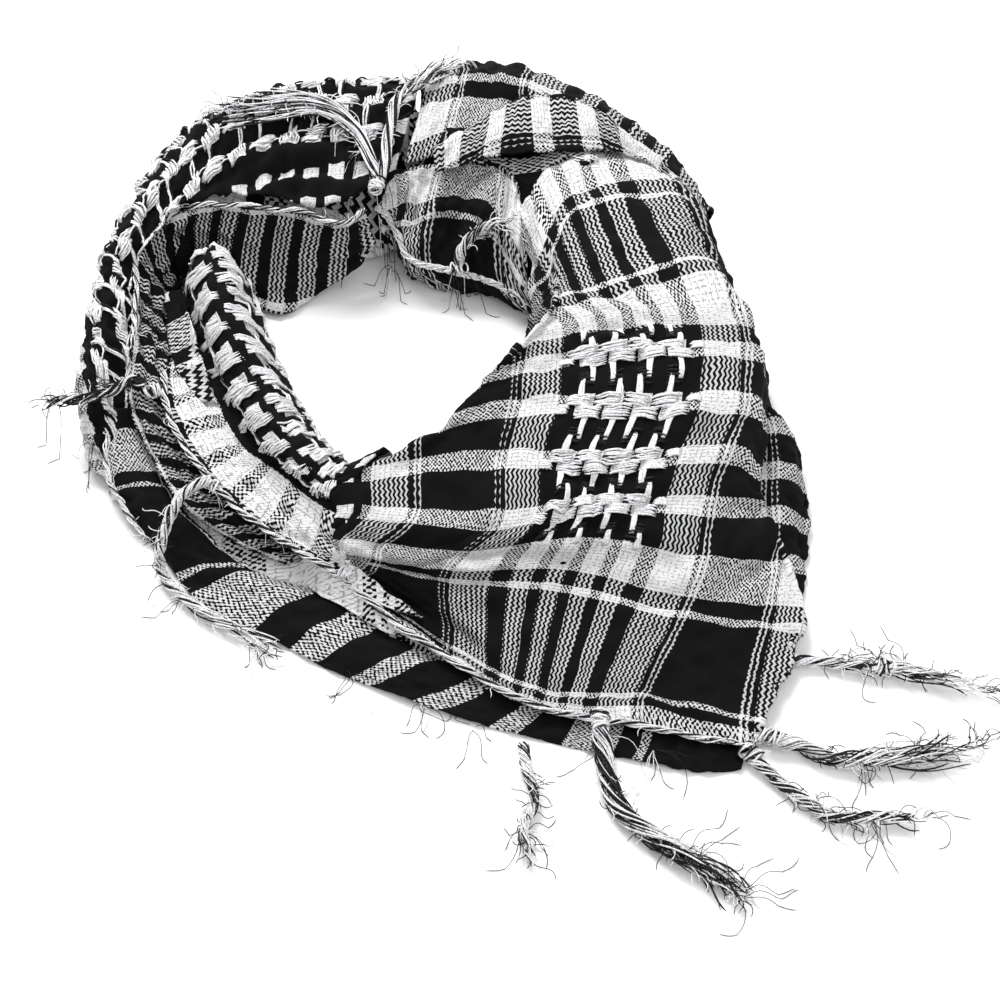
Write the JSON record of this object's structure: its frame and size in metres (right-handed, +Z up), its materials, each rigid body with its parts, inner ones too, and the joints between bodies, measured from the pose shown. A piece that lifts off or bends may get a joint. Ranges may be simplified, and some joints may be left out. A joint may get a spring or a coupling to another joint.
{
  "type": "keffiyeh headscarf",
  "caption": "Square black-and-white cotton plaid headscarf with knotted tassels, folded to a triangle and laid down as a neck ring with its point spread in front.",
  "frame": {"origin": "middle of the base of the bounding box, on the surface that the scarf lies on", "axes": "+Z up; +X to the right along the front of the ring; +Y to its back"},
  "size_m": [0.393, 0.4388, 0.0635],
  "materials": {
    "plaid_cotton": "plain-woven black and white cotton, matt",
    "cotton_yarn": "loose twisted cotton yarn, black and white ends"
  },
  "bodies": {
    "root": {"bib": "plaid_cotton", "left_roll": "plaid_cotton", "ruffle": "plaid_cotton", "inner_band": "plaid_cotton", "crossing_end": "plaid_cotton", "outer_roll": "plaid_cotton", "back_wrap": "plaid_cotton", "right_under": "plaid_cotton", "under_layer": "plaid_cotton", "hidden_folds": "plaid_cotton", "edge_cord_front": "cotton_yarn", "edge_cord_left": "cotton_yarn", "edge_cord_inner": "cotton_yarn", "edge_cord_neck": "cotton_yarn", "edge_cord_outer": "cotton_yarn", "tassel_left": "cotton_yarn", "tassel_lower_left": "cotton_yarn", "tassel_front_left": "cotton_yarn", "tassel_front": "cotton_yarn", "tassel_tip_low": "cotton_yarn", "tassel_tip_high": "cotton_yarn", "tassel_right": "cotton_yarn", "fringe_top": "cotton_yarn", "tassel_top": "cotton_yarn", "tassel_neck": "cotton_yarn"}
  },
  "joints": []
}
